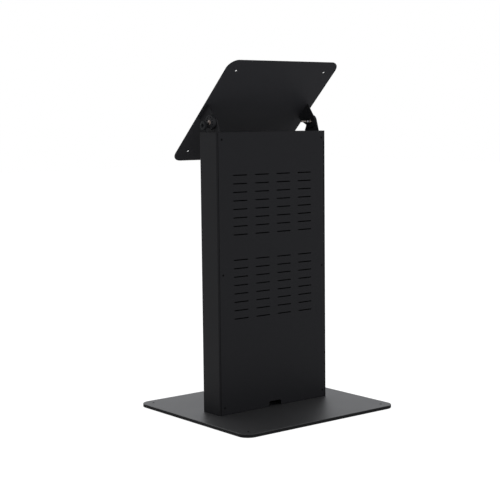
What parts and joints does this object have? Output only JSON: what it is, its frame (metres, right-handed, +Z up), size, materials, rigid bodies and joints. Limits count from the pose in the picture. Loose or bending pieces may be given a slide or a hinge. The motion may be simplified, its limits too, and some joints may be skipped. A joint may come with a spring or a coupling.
{
  "type": "tv floor stand",
  "caption": "Free-standing screen stand: flat base plate, vented cabinet column and a square screen plate that tilts from nearly upright to flat.",
  "frame": {"origin": "on the floor under the middle of the base plate", "axes": "+Z up, +X across the stand towards the clamp knob's side, +Y towards the vented rear; the screen faces -Y"},
  "size_m": [0.695, 0.64, 1.2521],
  "materials": {
    "base_coat": "fine-textured satin black powder coat",
    "column_coat": "fine-textured satin black powder coat",
    "cover_coat": "fine-textured satin black powder coat",
    "plate_coat": "fine-textured satin black powder coat",
    "bracket_coat": "satin black powder coat",
    "inner_coat": "satin black powder coat",
    "knob_plastic": "matt black moulded plastic",
    "friction_plastic": "smooth pale plastic",
    "rubber": "matt black rubber",
    "black_screw": "black oxide",
    "zinc": "bright zinc plating",
    "yellow_zinc": "yellow passivated zinc plating"
  },
  "bodies": {
    "column": {"base_plate": "base_coat", "base_pads": "rubber", "column_shell": "column_coat", "foot_plate": "inner_coat", "foot_bolts": "zinc", "foot_washers": "zinc", "rear_cover": "cover_coat", "cover_screws": "black_screw", "clinch_nuts": "zinc", "top_cap": "column_coat", "cap_screws": "black_screw", "cable_grommet": "rubber", "column_bracket_left": "bracket_coat", "column_bracket_right": "bracket_coat", "bracket_studs": "zinc", "bracket_nuts": "zinc", "pivot_bolt_left": "yellow_zinc", "pivot_bolt_right": "yellow_zinc", "pivot_nuts": "yellow_zinc", "pivot_washers": "yellow_zinc", "friction_washers": "friction_plastic"},
    "head": {"screen_plate": "plate_coat", "head_ear_left": "plate_coat", "head_ear_right": "plate_coat", "hole_disc": "bracket_coat", "clamp_washer": "yellow_zinc", "clamp_nut": "yellow_zinc"},
    "knob": {"clamp_knob": "knob_plastic", "clamp_stud": "zinc"}
  },
  "joints": [
    {"name": "head_tilt", "type": "hinge", "parent": "column", "child": "head", "pos_m": [0, 0.0025, 1.042], "axis": [1, 0, 0], "range_deg": [-43.5, 36]},
    {"name": "knob_turn", "type": "hinge", "parent": "head", "child": "knob", "pos_m": [0.2525, -0.01241, 1.03105], "axis": [1, 0, 0], "range_deg": [0, 360]}
  ]
}
